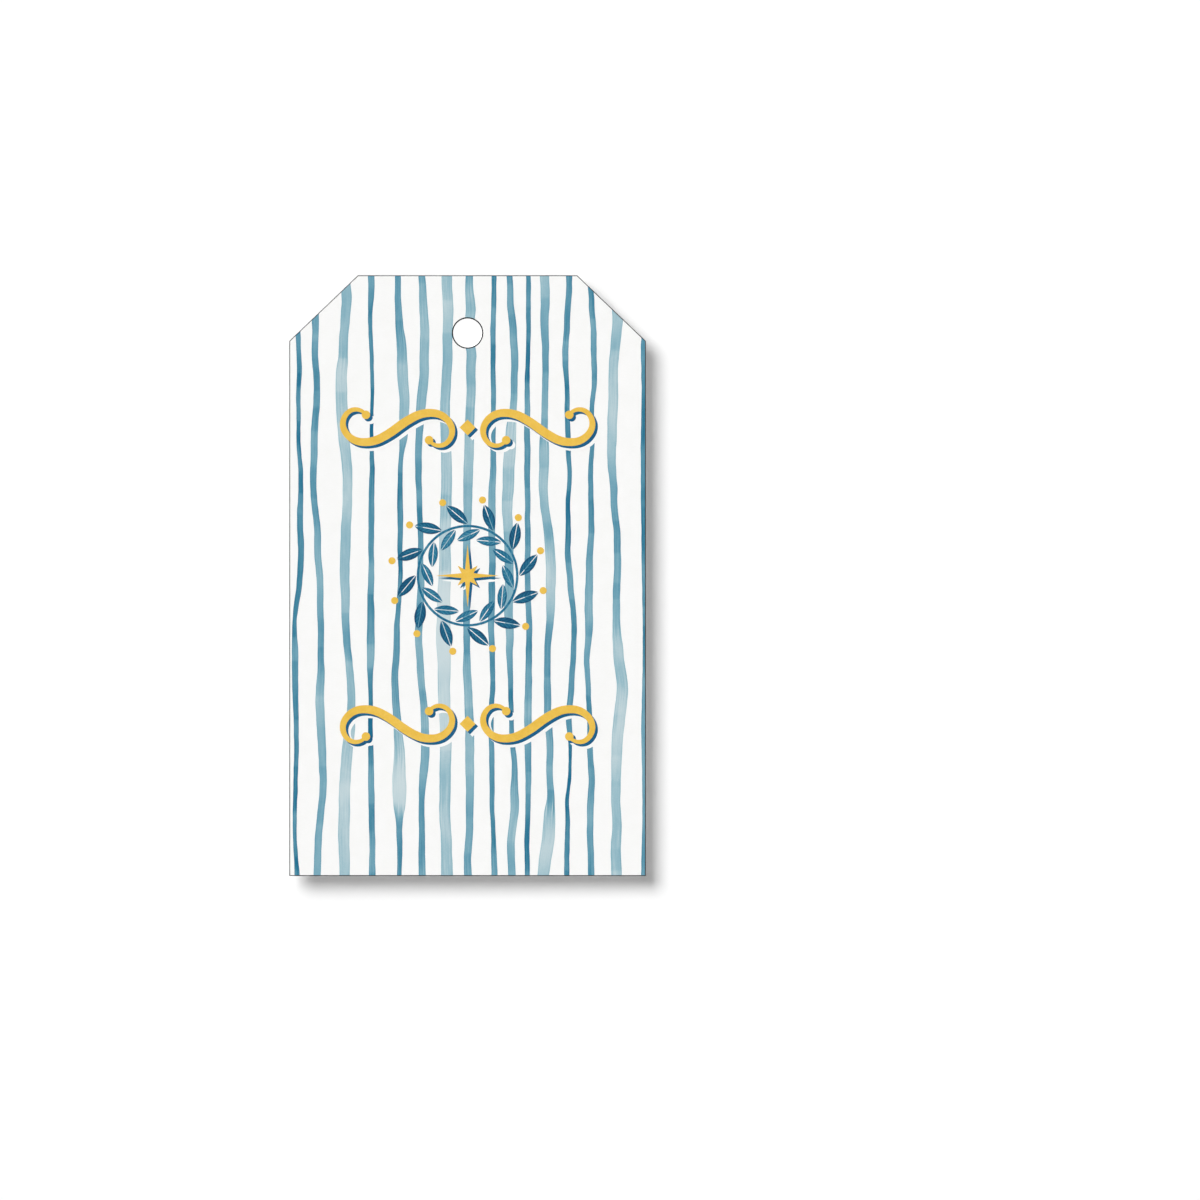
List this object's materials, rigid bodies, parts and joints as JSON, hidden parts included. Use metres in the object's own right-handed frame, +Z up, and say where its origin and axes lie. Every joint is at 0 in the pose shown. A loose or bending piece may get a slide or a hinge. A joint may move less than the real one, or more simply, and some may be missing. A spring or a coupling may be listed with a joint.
{
  "type": "gift tag",
  "caption": "Upright paper gift tag with cut upper corners, a punched hang hole, blue brush stripes, a leaf wreath and gold scrolls, with ruled lines on the back.",
  "frame": {"origin": "middle of the hang hole, at half the card's thickness", "axes": "+Z up along the tag's length, +X to the right seen from the front, the printed front faces -Y"},
  "size_m": [0.0604, 0.0008, 0.1016],
  "materials": {
    "card": "uncoated smooth white card stock",
    "glue": "dried paper glue",
    "deep_blue_ink": "matte watercolour-like print",
    "mid_blue_ink": "matte watercolour-like print",
    "pale_blue_ink": "matte watercolour-like print",
    "gold_ink": "matte warm gold print",
    "navy_ink": "matte dark blue print"
  },
  "bodies": {
    "root": {"front_sheet": "card", "glue_film": "glue", "back_sheet": "card", "deep_stripe_print": "deep_blue_ink", "mid_stripe_print": "mid_blue_ink", "pale_stripe_print": "pale_blue_ink", "shadow_print": "navy_ink", "flourish_print": "gold_ink", "outer_leaf_print": "navy_ink", "inner_leaf_print": "deep_blue_ink", "berry_print": "gold_ink", "star_print": "gold_ink", "writing_line_print": "navy_ink"}
  },
  "joints": []
}
